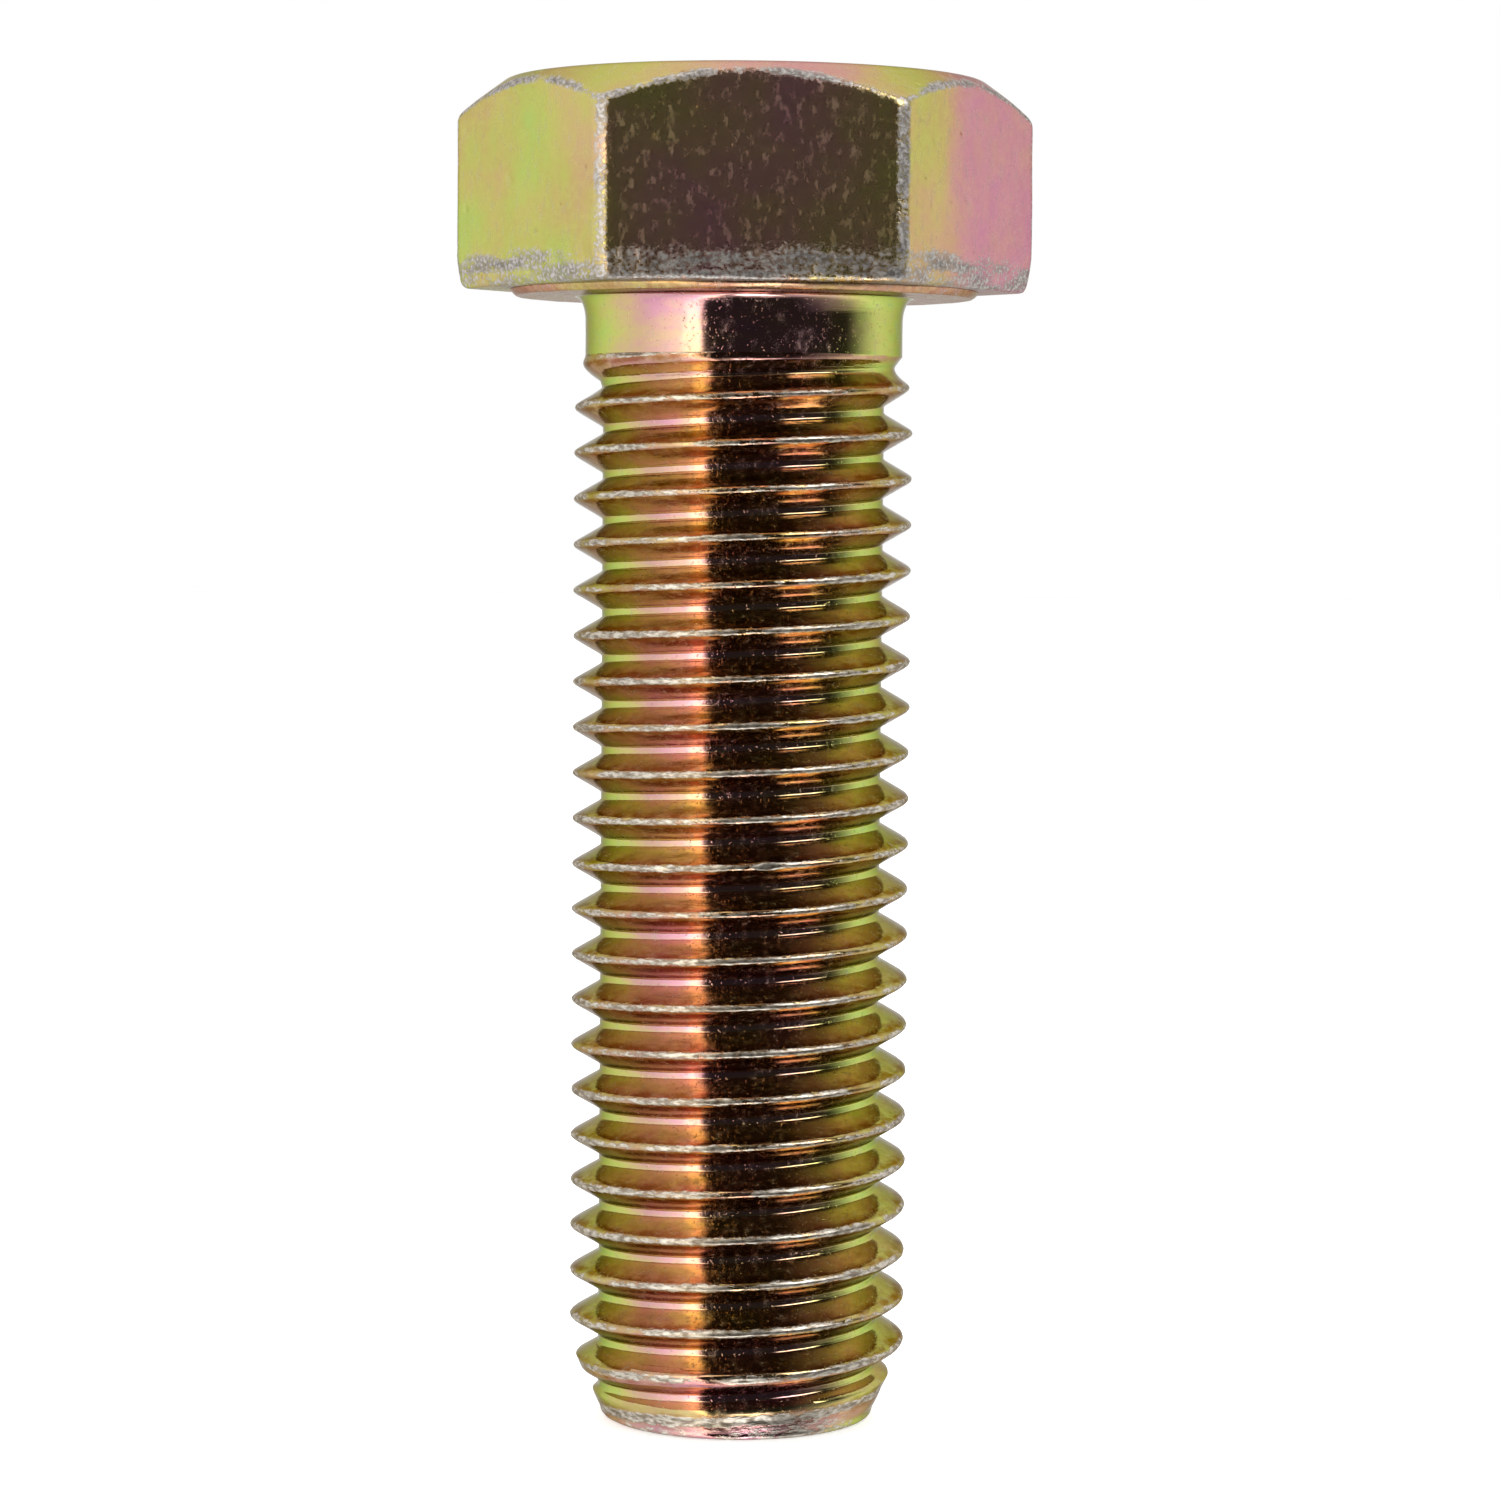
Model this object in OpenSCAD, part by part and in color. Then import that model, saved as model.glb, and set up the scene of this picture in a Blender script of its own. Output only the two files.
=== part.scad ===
// Hex bolt: one forged and thread-rolled piece of steel, in five named zones.
// Millimetres. The origin is the centre of the bearing face, +Z points to the top of the head.

/* [Head] */
// Width across two opposite wrench flats
across_flats = 28.0; // [27.5:0.1:28.6]
// Width across two opposite corners, which the forging leaves blunt
across_corners = 32.08; // [31.5:0.02:32.2]
// Height of the head from the bearing face to its top
head_height = 11.9; // [11:0.1:12.5]
// Diameter of the flat circle on top, inside the chamfer
top_flat_d = 26.4; // [25:0.1:27]
// Slope of the top chamfer, in degrees down from level
chamfer_angle = 36; // [25:1:40]

/* [Washer face] */
// Diameter of the raised ring that bears on the work
washer_face_d = 26.05; // [25:0.05:27]
// How far the ring stands below the hexagon
washer_face_t = 0.4; // [0.3:0.05:0.6]

/* [Neck] */
// Diameter at which the fillet meets the bearing face
fillet_d = 18.8; // [18.2:0.1:19.4]
// Diameter of the unthreaded neck
neck_d = 17.6; // [17:0.1:18]
// Length of the neck under the bearing face, fillet included
neck_length = 3.2; // [2.6:0.1:4]
// Height of the fillet under the bearing face
fillet_height = 1.35; // [0.8:0.05:2]

/* [Thread] */
// Diameter over the crests
major_d = 18.83; // [18.7:0.01:19]
// Diameter at the bottom of the groove
minor_d = 15.46; // [15.2:0.01:15.8]
// Distance from one crest to the next
pitch = 2.54; // [2.3:0.01:2.6]
// Width of the flat on the crest
crest_width = 0.27; // [0.2:0.01:0.4]
// Height of a crest above the bearing face at angle 0, whole turns left out
crest_phase = -4.83; // [-7:0.01:-4]
// Length over which the crest rises from the neck to full height
crest_run_in = 3.9; // [2:0.1:6]
// Length over which the groove sinks from the neck to full depth
groove_run_in = 2.4; // [1:0.1:4]

/* [Point] */
// Length of the bolt under the bearing face
length = 62.5; // [55:0.5:75]
// Length of the tapered end
point_length = 4.1; // [3:0.1:5]
// Diameter of the flat end
point_d = 15.0; // [14:0.1:15.4]

/* [Hidden] */

round_fn = 96;          // exact circles are drawn from this many sides
columns = 36;           // facets in one turn of the thread
flank_angle = 60;       // included angle of the groove
seam = 0.002;           // spacing of the thread's points where an end plane gathers them

sharp_r = across_flats / 2 / cos(30); // from the axis to where two flats would meet
corner_r = across_corners / 2;
top_r = top_flat_d / 2;
corner_z = head_height - (corner_r - top_r) * tan(chamfer_angle);

crest_r = major_d / 2;
root_r = minor_d / 2;
neck_r = neck_d / 2;
fillet_out = fillet_d / 2 - neck_r;
fillet_steps = 6;
// Quarter ellipse from the neck's side out to the bearing face
fillet_points = [
    for (step = [0 : fillet_steps])
    let (t = 90 * step / fillet_steps)
    [neck_r + fillet_out * (1 - cos(t)), -fillet_height * (1 - sin(t))]
];

flank_width = (crest_r - root_r) * tan(flank_angle / 2);
crest_half = crest_width / 2;
thread_top = -neck_length;
point_top = -length + point_length;
end_z = -length;

// Corners of the profile across one pitch, as depths below a crest's middle
profile = [-crest_half, crest_half, crest_half + flank_width, pitch - crest_half - flank_width];

// Rises quickly from 0 and eases into 1
function ease_out(t) = let (u = min(max(t, 0), 1)) 1 - pow(1 - u, 2);

// Crest and groove radius at a height, from the neck's own radius where the thread runs in
function crest_at(z) = neck_r + (crest_r - neck_r) * ease_out((thread_top - z) / crest_run_in);
function groove_at(z) = neck_r + (root_r - neck_r) * ease_out((thread_top - z) / groove_run_in);

// Radius of the tapered end at a height
function taper_at(z) =
    point_d / 2 + (crest_r - point_d / 2) * (z - end_z) / point_length;

// Distance along the axis from the nearest crest of a right-hand, single-start thread
function off_crest(angle, z) =
    let (turn = (crest_phase + pitch * angle / 360 - z) / pitch)
    abs(turn - round(turn)) * pitch;

// Radius of the thread's surface at an angle and a height
function thread_r(angle, z) =
    let (down = min(max((off_crest(angle, z) - crest_half) / flank_width, 0), 1))
    min(crest_at(z) + (groove_at(z) - crest_at(z)) * down, taper_at(z));

// A stretch of the thread between two level planes. Its facets follow the helix downwards in
// steps, each step holds one line of points across the pitch, and each line meets the next turn's.
module thread_between(z_top, z_bottom) {
    m = len(profile);
    first = ceil((z_top - crest_phase) / pitch) + 2;                 // turns above the crest at phase
    turns = first - floor((z_bottom - crest_phase) / pitch) + 1;
    last = turns * columns;
    points = [
        for (step = [0 : last], row = [0 : m - 1])
        let (
            angle = -360 * step / columns,
            free = crest_phase + pitch * (first - step / columns) - profile[row],
            below = seam * (m * floor(step / columns) + row),         // gathers at the upper plane
            above = seam * (m * floor((last - step) / columns) + m - 1 - row), // and at the lower
            z = max(min(free, z_top - below), z_bottom + above),
            r = thread_r(angle, z)
        )
        [r * cos(angle), r * sin(angle), z]
    ];
    across = [
        for (step = [0 : last - 1], row = [0 : m - 2])
        let (a = step * m + row)
        each [[a, a + m, a + m + 1], [a, a + m + 1, a + 1]]
    ];
    to_next_turn = [
        for (step = [0 : last - columns - 1])
        let (a = step * m + m - 1, b = (step + columns) * m)
        each [[a, a + m, b + m], [a, b + m, b]]
    ];
    upper_edge = concat([for (step = [0 : columns]) step * m], [for (row = [m - 1 : -1 : 1]) row]);
    lower_edge = concat(
        [for (step = [last - columns : last]) step * m + m - 1],
        [for (row = [m - 2 : -1 : 0]) last * m + row]
    );
    n = len(points);
    edge_n = len(upper_edge);
    upper_end = [for (i = [0 : edge_n - 1]) [n, upper_edge[(i + 1) % edge_n], upper_edge[i]]];
    lower_end = [for (i = [0 : edge_n - 1]) [n + 1, lower_edge[i], lower_edge[(i + 1) % edge_n]]];
    polyhedron(
        points = concat(points, [[0, 0, z_top], [0, 0, z_bottom]]),
        faces = concat(across, to_next_turn, upper_end, lower_end),
        convexity = 20
    );
}

// Hexagonal prism, flats to -Y and +Y, trimmed by a turned blank with a chamfered top
module hex_head() {
    color("darkolivegreen")
        intersection() {
            translate([0, 0, washer_face_t])
                linear_extrude(head_height - washer_face_t)
                    circle(r = sharp_r, $fn = 6);
            rotate_extrude($fn = round_fn)
                polygon([
                    [0, 0], [corner_r, 0], [corner_r, corner_z], [top_r, head_height], [0, head_height]
                ]);
        }
}

// Flat ring under the hexagon, round the root of the neck
module washer_face() {
    color("darkkhaki")
        difference() {
            cylinder(d = washer_face_d, h = washer_face_t, $fn = round_fn);
            translate([0, 0, -1])
                cylinder(d = fillet_d, h = washer_face_t + 2, $fn = round_fn);
        }
}

// Plain neck: its root fills the ring, a concave fillet leads down to it
module neck() {
    color("darkgoldenrod")
        rotate_extrude($fn = round_fn)
            polygon(concat(
                [[0, -neck_length], [neck_r, -neck_length]],
                fillet_points,
                [[fillet_d / 2, washer_face_t], [0, washer_face_t]]
            ));
}

// Rolled thread from the neck to the start of the taper
module threaded_shank() {
    color("saddlebrown") thread_between(thread_top, point_top);
}

// Tapered end, on which the thread fades out
module point() {
    color("peru") thread_between(point_top, end_z);
}

hex_head();
washer_face();
neck();
threaded_shank();
point();
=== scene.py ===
# %% [markdown]
# # A hex bolt in iridescent yellow zinc
#
# The real bolt is one length of steel wire. A press upsets one end into the hexagonal head, two
# flat dies roll the thread, and a plating bath leaves a few micrometres of zinc under a clear
# chromate film. The film is so thin that it shows interference colours, olive, gold and pink, as
# a soap bubble does. This lesson builds the five zones of the bolt as surfaces worked out with
# numpy, and then gives them that finish.
#
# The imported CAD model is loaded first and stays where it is. Every size that it knows is read
# from it, so nothing has to be fitted afterwards.

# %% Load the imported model
import math

import bpy
import numpy as np
from mathutils import Matrix, Vector


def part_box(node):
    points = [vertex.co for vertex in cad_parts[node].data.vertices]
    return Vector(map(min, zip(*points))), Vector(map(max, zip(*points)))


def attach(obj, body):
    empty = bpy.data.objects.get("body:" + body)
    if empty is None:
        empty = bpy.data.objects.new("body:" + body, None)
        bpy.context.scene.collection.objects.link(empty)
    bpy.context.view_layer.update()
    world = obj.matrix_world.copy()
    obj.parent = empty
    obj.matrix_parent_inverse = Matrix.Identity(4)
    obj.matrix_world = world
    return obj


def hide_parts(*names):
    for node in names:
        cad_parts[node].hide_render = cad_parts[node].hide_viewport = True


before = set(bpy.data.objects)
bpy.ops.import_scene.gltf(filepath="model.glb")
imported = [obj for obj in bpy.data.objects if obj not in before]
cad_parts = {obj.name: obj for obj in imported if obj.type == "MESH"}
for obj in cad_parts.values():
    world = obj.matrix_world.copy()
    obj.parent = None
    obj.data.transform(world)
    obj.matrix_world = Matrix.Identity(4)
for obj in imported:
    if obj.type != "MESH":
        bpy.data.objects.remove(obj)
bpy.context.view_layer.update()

MM = 0.001
print("CAD nodes:", sorted(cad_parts))

# %% [markdown]
# ## Driving sizes
#
# The boxes of the CAD nodes give the outside sizes. The rest are the thread's own numbers, and
# they are the same ones that a maker would set on the rolling dies: pitch, root, crest and how
# far the thread takes to run in from the neck.

# %% Sizes
head_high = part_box("hex_head")[1]
ring_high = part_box("washer_face")[1]
neck_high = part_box("neck")[1]
thread_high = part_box("threaded_shank")[1]
point_low, point_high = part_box("point")

corner_r = head_high.x
flat_r = head_high.y
head_top = head_high.z
ring_r = ring_high.x
ring_t = ring_high.z
bearing_r = neck_high.x
thread_top = thread_high.z
point_top = point_high.z
tip_z = point_low.z
crest_r = thread_high.x

pitch = 2.54 * MM
root_r = 7.73 * MM
neck_r = 8.8 * MM
crest_half = 0.135 * MM
crest_phase = -4.83 * MM
crest_run_in = 3.9 * MM
groove_run_in = 2.4 * MM
fillet_height = 1.35 * MM
point_r = 7.5 * MM
flank_width = (crest_r - root_r) * math.tan(math.radians(30))
print(f"thread {2000 * crest_r:.2f} mm over the crests, pitch {1000 * pitch:.2f} mm")

# %% [markdown]
# ## Camera
#
# A long lens stands a quarter of a metre away, level with the upper thread, and tilts down a
# little to take in the tip. The bolt leans by less than half a degree, which here is done by
# rolling the camera, so that the bolt itself stays square in its frame.

# %% Camera
eye = Vector((-6.31, -240.92, -9.67)) * MM
aim = Vector((0.51, 0.0, -25.12)) * MM
camera_roll = math.radians(0.45)
camera_data = bpy.data.cameras.new("studio_camera")
camera_data.lens = 103.7
camera_data.sensor_width = 36.0
camera_data.clip_start = 0.01
camera_data.clip_end = 20.0
camera = bpy.data.objects.new("studio_camera", camera_data)
bpy.context.scene.collection.objects.link(camera)
turn = (aim - eye).to_track_quat("-Z", "Y").to_matrix().to_4x4()
camera.matrix_world = Matrix.Translation(eye) @ turn @ Matrix.Rotation(camera_roll, 4, "Z")
bpy.context.scene.camera = camera
bpy.context.scene.view_settings.view_transform = "Standard"
print(f"camera {1000 * (aim - eye).length:.0f} mm from the bolt")

# %% [markdown]
# ## Light
#
# Polished plating shows its surroundings more than its own colour, so the surroundings are what
# has to be designed. Here it is a white tent with an opening for the lens. The pale walls make the
# left and the far right of the bolt shine, and the opening shows as the black band down the
# middle. One background shader holds the whole tent: a direction's bearing, measured round the
# bolt from the lens, and its height decide how bright it is.

# %% Shader helpers
def add_node(tree, kind, **settings):
    """A new shader node of that kind with its plain settings filled in."""
    node = tree.nodes.new(kind)
    for name, value in settings.items():
        setattr(node, name, value)
    return node


def math_node(tree, operation, first, second=None, clamp=False):
    """A Math node fed by sockets or plain numbers; returns its result."""
    node = add_node(tree, "ShaderNodeMath", operation=operation, use_clamp=clamp)
    for socket, value in zip(node.inputs, (first, second)):
        if value is None:
            continue
        if isinstance(value, (int, float)):
            socket.default_value = value
        else:
            tree.links.new(value, socket)
    return node.outputs[0]


def plus(tree, first, second):
    """first + second."""
    return math_node(tree, "ADD", first, second)


def minus(tree, first, second):
    """first - second."""
    return math_node(tree, "SUBTRACT", first, second)


def times(tree, first, second, clamp=False):
    """first * second, held between 0 and 1 if clamp is set."""
    return math_node(tree, "MULTIPLY", first, second, clamp)


def step_up(tree, value, low, high):
    """Rises smoothly from 0 at low to 1 at high."""
    node = add_node(tree, "ShaderNodeMapRange", interpolation_type="SMOOTHSTEP")
    tree.links.new(value, node.inputs["Value"])
    node.inputs["From Min"].default_value = low
    node.inputs["From Max"].default_value = high
    return node.outputs["Result"]


def between(tree, value, low, high, soft):
    """1 between low and high, 0 outside them, with edges that are soft wide."""
    rise = step_up(tree, value, low - soft / 2, low + soft / 2)
    fall = step_up(tree, value, high - soft / 2, high + soft / 2)
    return minus(tree, rise, fall)


def mix_colour(tree, share, first, second):
    """Blends two colours: (1 - share) * first + share * second."""
    node = add_node(tree, "ShaderNodeMix", data_type="RGBA")
    tree.links.new(share, node.inputs["Factor"])
    for socket, value in ((node.inputs[6], first), (node.inputs[7], second)):
        if isinstance(value, tuple):
            socket.default_value = value
        else:
            tree.links.new(value, socket)
    return node.outputs[2]


# %% [markdown]
# The tent is a list of soft-edged panels in degrees. Bearing is 0 at the lens and grows to the
# right; height is the angle above the horizon. White walls stand all round but for the opening.
# The wall gets brighter towards the opening's left edge, and ends there in a narrow strip of
# warmer light. Inside the opening a bright card hangs high on the right, which puts the glints
# under each crest, and a faint one stands low. The ground and the ceiling seen through the
# opening are dim, and a hot card lies on the ground.

# %% Tent
OPENING_LEFT = -32.5
OPENING_RIGHT = 84.0
WHITE_LIGHT = (1, 1, 1, 1)
WARM_LIGHT = (1.0, 0.88, 0.70, 1)
STRAY_LIGHT = 0.021


def directions(tree):
    """Bearing and height, in degrees, of the direction that a background is seen in."""
    toward = add_node(tree, "ShaderNodeTexCoord").outputs["Generated"]
    split = add_node(tree, "ShaderNodeSeparateXYZ")
    tree.links.new(toward, split.inputs[0])
    to_lens = times(tree, split.outputs["Y"], -1.0)
    bearing = math_node(tree, "ARCTAN2", split.outputs["X"], to_lens)
    height = math_node(tree, "ARCSINE", split.outputs["Z"])
    degrees = 180 / math.pi
    return times(tree, bearing, degrees), times(tree, height, degrees)


def panel(tree, parts, brightness):
    """Product of several shares, times the panel's brightness."""
    total = parts[0]
    for part in parts[1:]:
        total = times(tree, total, part)
    return times(tree, total, brightness)


def make_tent():
    """Adds the panels to a little stray light, and hides them from the camera behind a white
    page. The light's colour goes from white to warm by the strip's own share."""
    world = bpy.data.worlds.new("light_tent")
    world.use_nodes = True
    tree = world.node_tree
    tree.nodes.clear()
    bearing, height = directions(tree)
    left_edge = step_up(tree, bearing, OPENING_LEFT - 1.5, OPENING_LEFT + 1.5)
    right_edge = step_up(tree, bearing, OPENING_RIGHT - 9.0, OPENING_RIGHT + 33.0)
    opening = minus(tree, left_edge, right_edge)
    near_wall = minus(tree, step_up(tree, bearing, -86.0, OPENING_LEFT - 4.0), left_edge)
    warm_strip = between(tree, bearing, -45.0, OPENING_LEFT, 9.0)
    high_card = [between(tree, bearing, 34.0, 70.0, 10.0), between(tree, height, 18.0, 62.0, 12.0)]
    low_card = [between(tree, bearing, 62.0, 110.0, 45.0), between(tree, height, -75.0, -12.0, 12.0)]
    hot_card = [between(tree, bearing, -12.0, 44.0, 20.0), between(tree, height, -100.0, -64.0, 12.0)]
    panels = [
        panel(tree, [minus(tree, 1.0, opening)], 0.92),
        panel(tree, [near_wall], 0.7),
        panel(tree, [warm_strip], 1.35),
        panel(tree, high_card, 4.2),
        panel(tree, low_card, 0.3),
        panel(tree, [opening, between(tree, height, -120.0, -58.0, 14.0)], 0.35),
        panel(tree, hot_card, 4.0),
        panel(tree, [opening, between(tree, height, 66.0, 120.0, 14.0)], 0.2),
    ]
    level = STRAY_LIGHT
    for brightness in panels:
        level = plus(tree, brightness, level)
    tent = add_node(tree, "ShaderNodeBackground")
    tree.links.new(mix_colour(tree, warm_strip, WHITE_LIGHT, WARM_LIGHT), tent.inputs["Color"])
    tree.links.new(level, tent.inputs["Strength"])
    page = add_node(tree, "ShaderNodeBackground")
    page.inputs["Color"].default_value = WHITE_LIGHT
    mix = add_node(tree, "ShaderNodeMixShader")
    tree.links.new(add_node(tree, "ShaderNodeLightPath").outputs["Is Camera Ray"], mix.inputs[0])
    tree.links.new(tent.outputs[0], mix.inputs[1])
    tree.links.new(page.outputs[0], mix.inputs[2])
    output = add_node(tree, "ShaderNodeOutputWorld")
    tree.links.new(mix.outputs[0], output.inputs["Surface"])
    bpy.context.scene.world = world
    return len(panels)


print("tent panels:", make_tent())

# %% [markdown]
# ## Floor and softbox
#
# The bolt stands on its point on a pale floor. A large softbox overhead and a faint glow of the
# floor's own lift it to the same white as the page behind it. Neither shows in the plating.

# %% Floor and softbox
def make_floor(half_width=1.6):
    """A plain square at the height of the tip."""
    mesh = bpy.data.meshes.new("floor")
    corners = [(-1, -1), (1, -1), (1, 1), (-1, 1)]
    mesh.from_pydata([(x * half_width, y * half_width, tip_z) for x, y in corners], [], [(0, 1, 2, 3)])
    floor = bpy.data.objects.new("floor", mesh)
    bpy.context.scene.collection.objects.link(floor)
    paint = bpy.data.materials.new("pale_floor")
    paint.use_nodes = True
    shader = paint.node_tree.nodes["Principled BSDF"]
    shader.inputs["Base Color"].default_value = (0.92, 0.92, 0.92, 1)
    shader.inputs["Roughness"].default_value = 0.9
    shader.inputs["Emission Color"].default_value = WHITE_LIGHT
    shader.inputs["Emission Strength"].default_value = 0.45
    mesh.materials.append(paint)
    floor.visible_glossy = False


def make_softbox(name, place, size, watts):
    """A square lamp at that place, turned to face the bolt, unseen by the camera."""
    lamp = bpy.data.lights.new(name, "AREA")
    lamp.shape = "SQUARE"
    lamp.size = size
    lamp.energy = watts
    box = bpy.data.objects.new(name, lamp)
    box.location = place
    middle_of_bolt = Vector((0, 0, -0.03))
    box.rotation_mode = "QUATERNION"
    box.rotation_quaternion = (middle_of_bolt - box.location).to_track_quat("-Z", "Y")
    box.visible_camera = False
    box.visible_glossy = False
    bpy.context.scene.collection.objects.link(box)


make_floor()
make_softbox("overhead_softbox", place=(0.0, 0.1, 0.6), size=0.7, watts=4.0)
print("floor at", round(1000 * tip_z, 2), "mm")

# %% [markdown]
# ## Random fields that repeat
#
# Forged and plated steel is uneven at every scale: soft hills from the die, pits from scale, and
# patches where the film grew thicker. All of them come from one hash of lattice corners, so the
# same numbers come out on every run and on every machine.

# %% Random fields
def lattice_number(x, y, z, seed):
    """A repeatable number from 0 to 1 for each lattice corner: products of the three whole
    coordinates and the seed, mixed by shifts and kept to 32 bits."""
    mixed = (x * 374761393 + y * 668265263 + z * 1440662683 + seed * 974634777) & 0xFFFFFFFF
    mixed = ((mixed ^ (mixed >> 13)) * 1274126177) & 0xFFFFFFFF
    return ((mixed ^ (mixed >> 16)) & 0xFFFFFF) / float(0xFFFFFF)


def lumps(points, size, seed):
    """Soft field from -1 to 1: random numbers on a cubic lattice of that size, blended between
    the eight corners of each cell with weights 3t^2 - 2t^3."""
    scaled = points / size
    cell = np.floor(scaled).astype(np.int64)
    t = scaled - cell
    t = t * t * (3 - 2 * t)
    total = np.zeros(points.shape[:-1])
    for corner in np.ndindex(2, 2, 2):
        weight = np.prod(np.where(np.array(corner) == 1, t, 1 - t), axis=-1)
        at = cell + np.array(corner)
        total += weight * lattice_number(at[..., 0], at[..., 1], at[..., 2], seed)
    return 2 * total - 1


def cloud(points, size, seed, layers=3):
    """Sum of lumps, each layer half as big and half as strong as the one before."""
    total = np.zeros(points.shape[:-1])
    for layer in range(layers):
        total += lumps(points, size / 2**layer, seed + layer) / 2**layer
    return total / (2 - 2 ** (1 - layers))


def spots(points, spacing, radius, share, seed):
    """Round dabs, 1 in the middle and 0 outside: one dab at a random place in a share of the
    lattice cells, with height (1 - (distance / radius)^2)^2."""
    scaled = points / spacing
    cell = np.floor(scaled).astype(np.int64)
    highest = np.zeros(points.shape[:-1])
    for step in np.ndindex(3, 3, 3):
        at = cell + np.array(step) - 1
        corner = (at[..., 0], at[..., 1], at[..., 2])
        place = np.stack([lattice_number(*corner, seed + axis) for axis in range(3)], axis=-1)
        grown = lattice_number(*corner, seed + 3) < share
        reach = radius * (0.5 + 0.5 * lattice_number(*corner, seed + 4))
        away = np.linalg.norm(at + place - scaled, axis=-1) * spacing / reach
        highest = np.maximum(highest, grown * np.clip(1 - away**2, 0, 1) ** 2)
    return highest


trial = np.random.default_rng(1).uniform(0, 0.02, (2000, 3))
print("cloud spread:", np.round(cloud(trial, 0.004, 7).std(), 3))

# %% [markdown]
# ## Blends
#
# Two lines that cross make a sharp edge. A rolled thread has none: the metal flows, so crest and
# root are round. A soft minimum and maximum round the crossing over a chosen width.

# %% Blends
def soft_min(a, b, width):
    """The lower of a and b, with the crossing rounded off over that width."""
    h = np.clip(0.5 + 0.5 * (b - a) / width, 0, 1)
    return b + (a - b) * h - width * h * (1 - h)


def soft_max(a, b, width):
    """The higher of a and b, with the crossing filled over that width."""
    return -soft_min(-a, -b, width)


def ease_out(t):
    """Rises quickly from 0 and settles at 1: 1 - (1 - t)^2."""
    t = np.clip(t, 0, 1)
    return 1 - (1 - t) ** 2


def around(radius, angle, z):
    """Points from cylindrical coordinates."""
    return np.stack([radius * np.cos(angle), radius * np.sin(angle), z], axis=-1)


# %% [markdown]
# ## Making a mesh
#
# Every piece ends here: an array of points, an array of faces and one number per point for each
# painted quantity. Shading is smooth, except across edges sharper than a limit.

# %% Mesh maker
def make_piece(name, points, faces, painted, sharp_degrees=50):
    """A mesh object at the origin from arrays; painted holds one value per point by name."""
    mesh = bpy.data.meshes.new(name)
    mesh.from_pydata(points.tolist(), [], faces.tolist())
    mesh.shade_smooth()
    mesh.set_sharp_from_angle(angle=math.radians(sharp_degrees))
    for key, values in painted.items():
        attribute = mesh.attributes.new(key, "FLOAT", "POINT")
        attribute.data.foreach_set("value", np.ascontiguousarray(values, dtype=np.float32))
    piece = bpy.data.objects.new(name, mesh)
    bpy.context.scene.collection.objects.link(piece)
    triangles = sum(len(face) - 2 for face in faces)
    print(f"{name}: {len(points)} points, {triangles} triangles")
    return piece


def grid_faces(rows, columns):
    """Quads between rows of points that run round an axis; each row closes on itself."""
    row, column = np.meshgrid(np.arange(rows - 1), np.arange(columns), indexing="ij")
    after = (column + 1) % columns
    corners = [row * columns + column, (row + 1) * columns + column,
               (row + 1) * columns + after, row * columns + after]
    return np.stack(corners, axis=-1).reshape(-1, 4)


def halved(quads):
    """Two triangles for each quad, cut along the line from its first corner to its third."""
    a, b, c, d = quads.T
    return np.concatenate([np.stack([a, b, c], -1), np.stack([a, c, d], -1)])


def turned(radius, height, columns):
    """A profile carried round the axis: radius, height and angle of every point, in rows."""
    angle = 2 * np.pi * np.arange(columns) / columns
    return np.broadcast_arrays(radius[:, None], height[:, None], angle[None, :])


def fan(rim, centre, flip=False):
    """Triangles from a closed rim to its centre, turned over if flip is set."""
    after = np.roll(rim, -1)
    order = (after, rim) if flip else (rim, after)
    return np.stack([*order, np.full(len(rim), centre)], axis=-1)


# %% [markdown]
# ## The shank's profile
#
# A thread is one groove wound round a cylinder. Along the axis its profile repeats every pitch
# and slides with the angle, so a single formula gives the radius anywhere: find how far the
# point is from the nearest crest, and go down the flank by that much. Near the neck the crest
# and the root both start from the neck's radius; near the tip a cone cuts them off.

# %% Thread profile
def off_crest(angle, z):
    """Distance along the axis to the nearest crest of a right-hand thread."""
    turns = (crest_phase + pitch * angle / (2 * math.pi) - z) / pitch
    return np.abs(turns - np.round(turns)) * pitch


def thread_radius(angle, z):
    """Crest radius less the flank's fall, rounded at crest and root, under the tip's cone."""
    below = thread_top - z
    crest = neck_r + (crest_r - neck_r) * ease_out(below / crest_run_in)
    root = neck_r + (root_r - neck_r) * ease_out(below / groove_run_in)
    flank = crest + (root - crest) * (off_crest(angle, z) - crest_half) / flank_width
    share = (crest - root) / (crest_r - root_r)
    radius = soft_max(flank, root + 0.08 * MM * share, 0.09 * MM * share + 1e-9)
    radius = soft_min(radius, crest, 0.24 * MM * share + 1e-9)
    cone = point_r + (crest_r - point_r) * (z - tip_z) / (point_top - tip_z)
    return soft_min(radius, cone, 0.2 * MM)


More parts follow.
